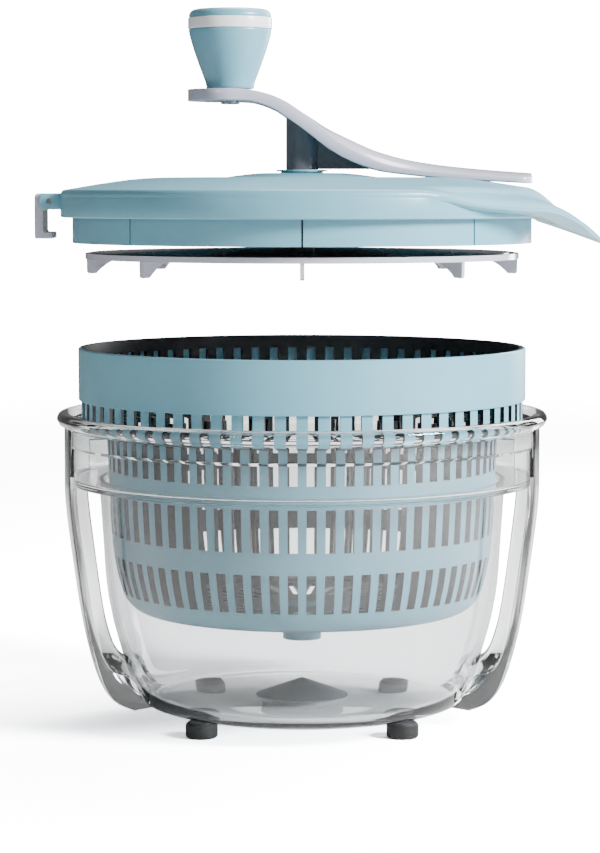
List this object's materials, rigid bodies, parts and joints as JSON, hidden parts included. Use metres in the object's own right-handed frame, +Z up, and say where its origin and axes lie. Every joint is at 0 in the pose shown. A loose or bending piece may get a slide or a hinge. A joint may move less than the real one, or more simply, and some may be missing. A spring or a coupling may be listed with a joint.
{
  "type": "salad spinner",
  "caption": "Hand-cranked salad spinner with a clear handled bowl, a slotted basket on a pivot, and a latched lid with a geared crank and a drive disc.",
  "frame": {"origin": "on the spin axis, at the level of the counter that the feet stand on", "axes": "+Z up along the spin axis, +X towards the lid's pouring beak, -X towards the latch, -Y the side seen first"},
  "size_m": [0.321, 0.2798, 0.4053],
  "materials": {
    "clear_plastic": "clear polished SAN moulding",
    "pale_blue": "pale blue satin-moulded polypropylene",
    "lilac_grey": "light lilac-grey ABS",
    "slate": "slate-grey moulded plastic",
    "white": "white gloss ABS",
    "natural_acetal": "natural acetal",
    "steel": "bright stainless steel",
    "black_rubber": "black rubber"
  },
  "bodies": {
    "bowl": {"bowl": "clear_plastic", "bowl_floor": "clear_plastic", "pivot_cone": "slate", "foot_front_left": "black_rubber", "foot_front_right": "black_rubber", "foot_rear_right": "black_rubber", "foot_rear_left": "black_rubber"},
    "basket_carrier": {"pivot_cap": "natural_acetal"},
    "basket": {"basket": "pale_blue", "basket_band": "pale_blue"},
    "lid": {"lid_shell": "pale_blue", "lid_skirt": "pale_blue", "gear_plate": "slate", "planet_pins": "steel", "plate_screws": "steel", "crank_bush": "pale_blue", "latch_pin": "steel"},
    "latch": {"latch": "lilac_grey"},
    "crank": {"crank_arm": "lilac_grey", "crank_post": "lilac_grey", "ring_gear": "natural_acetal", "crank_screw": "steel", "knob_axle": "steel", "knob_clip": "steel"},
    "knob": {"knob_grip": "pale_blue", "knob_ring": "white", "knob_cap": "pale_blue"},
    "planet_1": {"planet_gear_1": "natural_acetal"},
    "planet_2": {"planet_gear_2": "natural_acetal"},
    "planet_3": {"planet_gear_3": "natural_acetal"},
    "drive": {"drive_disc": "lilac_grey", "disc_cover": "slate", "sun_gear": "natural_acetal", "rotor_screw": "steel"}
  },
  "joints": [
    {"name": "lid_lift", "type": "slide", "parent": "bowl", "child": "lid", "axis": [0, 0, 1], "range_m": [-0.1096, 0]},
    {"name": "basket_lift", "type": "slide", "parent": "bowl", "child": "basket_carrier", "axis": [0, 0, 1], "range_m": [-0.025, 0]},
    {"name": "basket_turn", "type": "hinge", "parent": "basket_carrier", "child": "basket", "pos_m": [0, 0, 0.055], "axis": [0, 0, 1], "continuous": true},
    {"name": "latch_swing", "type": "hinge", "parent": "lid", "child": "latch", "pos_m": [-0.142, 0, 0.297], "axis": [0, 1, 0], "range_deg": [-8, 35]},
    {"name": "crank_turn", "type": "hinge", "parent": "lid", "child": "crank", "pos_m": [0, 0, 0.305], "axis": [0, 0, 1], "continuous": true},
    {"name": "knob_turn", "type": "hinge", "parent": "crank", "child": "knob", "pos_m": [-0.0406, 0, 0.37], "axis": [0, 0, 1], "continuous": true},
    {"name": "disc_turn", "type": "hinge", "parent": "lid", "child": "drive", "pos_m": [0, 0, 0.275], "axis": [0, 0, 1], "continuous": true},
    {"name": "planet_1_turn", "type": "hinge", "parent": "lid", "child": "planet_1", "pos_m": [0, 0.0225, 0.283], "axis": [0, 0, 1], "continuous": true},
    {"name": "planet_2_turn", "type": "hinge", "parent": "lid", "child": "planet_2", "pos_m": [-0.01949, -0.01125, 0.283], "axis": [0, 0, 1], "continuous": true},
    {"name": "planet_3_turn", "type": "hinge", "parent": "lid", "child": "planet_3", "pos_m": [0.01949, -0.01125, 0.283], "axis": [0, 0, 1], "continuous": true}
  ],
  "couplings": [
    {"joint": "basket_lift", "follows": "lid_lift", "ratio": 0.228},
    {"joint": "disc_turn", "follows": "crank_turn", "ratio": -4},
    {"joint": "basket_turn", "follows": "crank_turn", "ratio": -4},
    {"joint": "planet_1_turn", "follows": "crank_turn", "ratio": 2.6667},
    {"joint": "planet_2_turn", "follows": "crank_turn", "ratio": 2.6667},
    {"joint": "planet_3_turn", "follows": "crank_turn", "ratio": 2.6667}
  ]
}
